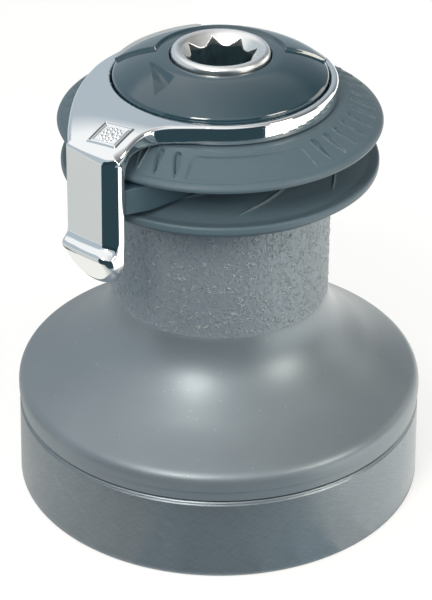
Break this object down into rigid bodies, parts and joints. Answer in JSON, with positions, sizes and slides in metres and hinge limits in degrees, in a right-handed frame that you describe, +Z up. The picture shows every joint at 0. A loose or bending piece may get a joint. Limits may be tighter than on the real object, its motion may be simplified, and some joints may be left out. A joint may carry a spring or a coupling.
{
  "type": "sailboat winch",
  "caption": "Self-tailing two-speed sheet winch: flared drum on a fixed base, rope-gripping jaws, chrome feeder arm and eight-point handle socket.",
  "frame": {"origin": "centre of the base's underside, on the spindle axis, where the winch rests on the deck", "axes": "+Z up along the spindle axis out of the handle socket; the feeder arm stands at 40 degrees from -Y towards -X"},
  "size_m": [0.142, 0.142, 0.1607],
  "materials": {
    "anodised_grey": "mid-grey hard anodised aluminium, satin, with a peened grip",
    "stem_casting": "bare machined casting",
    "jaw_grey": "slate-grey glass-filled nylon, fine matte texture",
    "chrome": "bright polished chrome",
    "stainless": "polished stainless steel",
    "cap_slate": "glossy dark slate plastic",
    "bronze": "machined aluminium bronze",
    "gear_steel": "machined and oiled steel",
    "acetal": "natural acetal",
    "seal_rubber": "black rubber"
  },
  "bodies": {
    "fixed_frame": {"base_housing": "anodised_grey", "centre_stem": "stem_casting", "stem_screw_1": "stainless", "stem_screw_2": "stainless", "stem_screw_3": "stainless", "stem_screw_4": "stainless", "lay_gear_pin": "stainless", "idler_pin_a": "stainless", "idler_pin_b": "stainless", "lower_spindle_bush": "acetal", "middle_spindle_bush": "acetal", "upper_spindle_bush": "acetal", "lower_thrust_washer": "bronze", "upper_thrust_washer": "bronze", "bearing_spacer": "acetal", "feeder_arm": "chrome", "arm_key": "stainless", "arm_nut": "stainless", "rope_stripper": "jaw_grey", "top_cap": "cap_slate", "cap_seal": "seal_rubber"},
    "drum": {"drum": "anodised_grey", "ring_gear": "bronze", "upper_jaw": "jaw_grey", "jaw_screw_1": "stainless", "jaw_screw_2": "stainless", "jaw_screw_3": "stainless", "jaw_screw_4": "stainless", "jaw_spring_1": "stainless", "jaw_spring_2": "stainless", "jaw_spring_3": "stainless", "jaw_spring_4": "stainless", "jaw_spring_5": "stainless", "jaw_spring_6": "stainless"},
    "lower_jaw": {"lower_jaw": "jaw_grey"},
    "spindle": {"main_spindle": "stainless", "spindle_pinion": "gear_steel", "spindle_circlip": "stainless", "spindle_pawl_spring_1": "stainless", "spindle_pawl_spring_2": "stainless"},
    "spindle_pawl_1": {"spindle_pawl_1": "gear_steel"},
    "spindle_pawl_2": {"spindle_pawl_2": "gear_steel"},
    "lay_gear": {"lay_gear": "gear_steel"},
    "lay_pinion": {"lay_pinion": "gear_steel", "lay_pawl_spring_1": "stainless", "lay_pawl_spring_2": "stainless"},
    "lay_pawl_1": {"lay_pawl_1": "gear_steel"},
    "lay_pawl_2": {"lay_pawl_2": "gear_steel"},
    "first_speed_gear": {"first_speed_gear": "gear_steel"},
    "idler_gear_a": {"idler_gear_a": "gear_steel"},
    "idler_gear_b": {"idler_gear_b": "gear_steel"},
    "lower_bearing": {"lower_bearing": "acetal"},
    "upper_bearing": {"upper_bearing": "acetal"}
  },
  "joints": [
    {"name": "drum_spin", "type": "hinge", "parent": "fixed_frame", "child": "drum", "pos_m": [0, 0, 0], "axis": [0, 0, 1], "continuous": true},
    {"name": "lower_jaw_slide", "type": "slide", "parent": "drum", "child": "lower_jaw", "axis": [0, 0, 1], "range_m": [-0.0035, 0], "stiffness_N_per_m": 3000, "springref_m": 0.001, "deforming": ["jaw_spring_1", "jaw_spring_2", "jaw_spring_3", "jaw_spring_4", "jaw_spring_5", "jaw_spring_6"]},
    {"name": "spindle_spin", "type": "hinge", "parent": "fixed_frame", "child": "spindle", "pos_m": [0, 0, 0], "axis": [0, 0, 1], "continuous": true},
    {"name": "lay_gear_spin", "type": "hinge", "parent": "fixed_frame", "child": "lay_gear", "pos_m": [0.028, 0, 0], "axis": [0, 0, 1], "continuous": true},
    {"name": "lay_pinion_spin", "type": "hinge", "parent": "fixed_frame", "child": "lay_pinion", "pos_m": [0.028, 0, 0], "axis": [0, 0, 1], "continuous": true},
    {"name": "first_speed_gear_spin", "type": "hinge", "parent": "fixed_frame", "child": "first_speed_gear", "pos_m": [0, 0, 0], "axis": [0, 0, 1], "continuous": true},
    {"name": "idler_a_spin", "type": "hinge", "parent": "fixed_frame", "child": "idler_gear_a", "pos_m": [-0.02145, 0.018, 0], "axis": [0, 0, 1], "continuous": true},
    {"name": "idler_b_spin", "type": "hinge", "parent": "fixed_frame", "child": "idler_gear_b", "pos_m": [-0.03198, 0.001, 0], "axis": [0, 0, 1], "continuous": true},
    {"name": "lower_bearing_spin", "type": "hinge", "parent": "fixed_frame", "child": "lower_bearing", "pos_m": [0, 0, 0], "axis": [0, 0, 1], "continuous": true},
    {"name": "upper_bearing_spin", "type": "hinge", "parent": "fixed_frame", "child": "upper_bearing", "pos_m": [0, 0, 0], "axis": [0, 0, 1], "continuous": true},
    {"name": "spindle_pawl_1_lift", "type": "hinge", "parent": "spindle", "child": "spindle_pawl_1", "pos_m": [0.00425, 0.00736, 0], "axis": [0, 0, 1], "range_deg": [0, 20], "stiffness_Nm_per_rad": 0.002},
    {"name": "spindle_pawl_2_lift", "type": "hinge", "parent": "spindle", "child": "spindle_pawl_2", "pos_m": [-0.00425, -0.00736, 0], "axis": [0, 0, 1], "range_deg": [0, 20], "stiffness_Nm_per_rad": 0.002},
    {"name": "lay_pawl_1_fold", "type": "hinge", "parent": "lay_pinion", "child": "lay_pawl_1", "pos_m": [0.028, 0.0072, 0], "axis": [0, 0, 1], "range_deg": [0, 20], "stiffness_Nm_per_rad": 0.002},
    {"name": "lay_pawl_2_fold", "type": "hinge", "parent": "lay_pinion", "child": "lay_pawl_2", "pos_m": [0.028, -0.0072, 0], "axis": [0, 0, 1], "range_deg": [0, 20], "stiffness_Nm_per_rad": 0.002}
  ],
  "couplings": [
    {"joint": "spindle_spin", "follows": "drum_spin", "ratio": -4},
    {"joint": "lay_gear_spin", "follows": "drum_spin", "ratio": 3},
    {"joint": "lay_pinion_spin", "follows": "drum_spin", "ratio": 3},
    {"joint": "first_speed_gear_spin", "follows": "drum_spin", "ratio": 2.3333},
    {"joint": "idler_a_spin", "follows": "drum_spin", "ratio": -4.2},
    {"joint": "idler_b_spin", "follows": "drum_spin", "ratio": 4.2},
    {"joint": "lower_bearing_spin", "follows": "drum_spin", "ratio": 0.57},
    {"joint": "upper_bearing_spin", "follows": "drum_spin", "ratio": 0.57}
  ]
}
